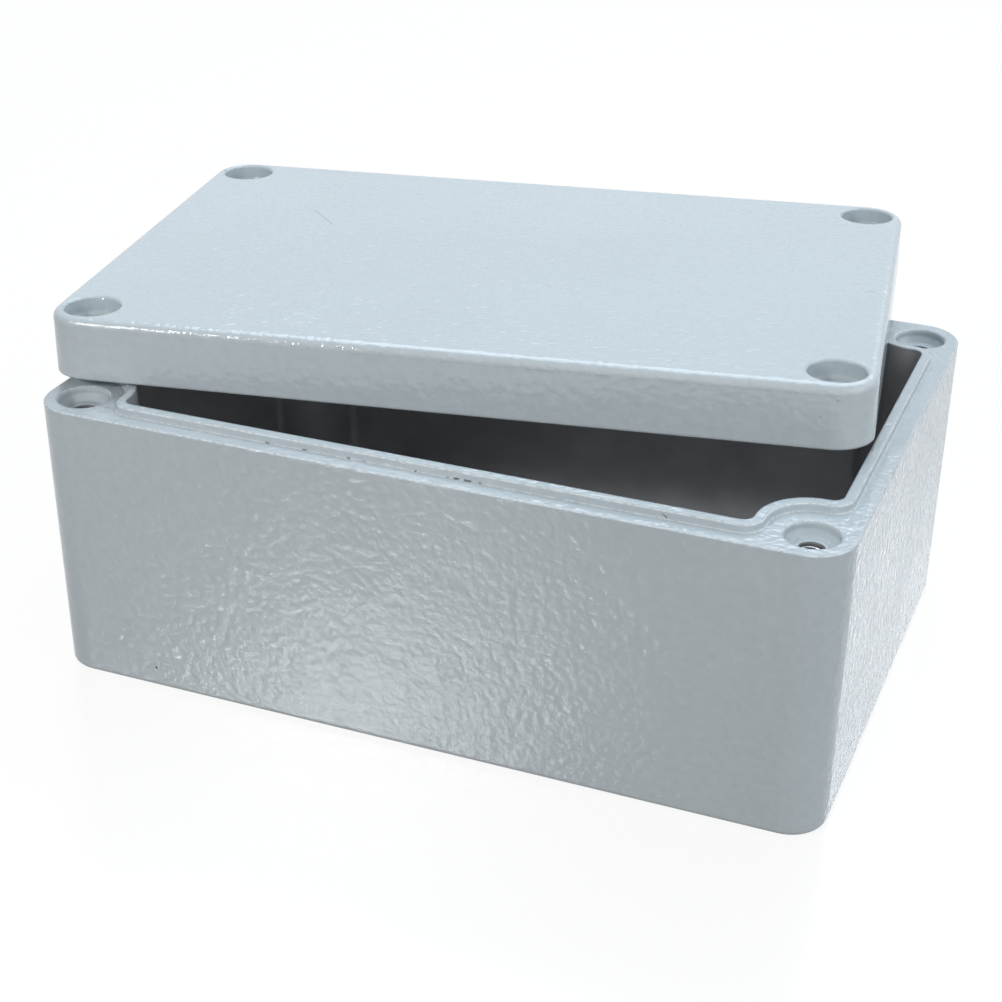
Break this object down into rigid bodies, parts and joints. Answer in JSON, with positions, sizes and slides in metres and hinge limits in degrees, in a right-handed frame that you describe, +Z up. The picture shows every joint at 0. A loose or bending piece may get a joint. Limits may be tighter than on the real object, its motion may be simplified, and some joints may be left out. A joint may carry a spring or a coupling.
{
  "type": "die cast aluminium box",
  "caption": "Painted die cast aluminium equipment box with a raised sealing lip, corner screw bosses and a loose lid lying askew on it.",
  "frame": {"origin": "centre of the base's underside, on the surface it stands on", "axes": "+X along the box's length, to the right seen from the front; -Y to the front; +Z up"},
  "size_m": [0.1778, 0.1396, 0.0743],
  "materials": {
    "base_paint": "glossy grey powder coat with a coarse orange peel, bare and dark inside",
    "lid_paint": "glossy grey powder coat with a fine ripple",
    "gasket_rubber": "matt black rubber"
  },
  "bodies": {
    "root": {"base_casting": "base_paint", "lid_casting": "lid_paint", "lid_gasket": "gasket_rubber"}
  },
  "joints": []
}
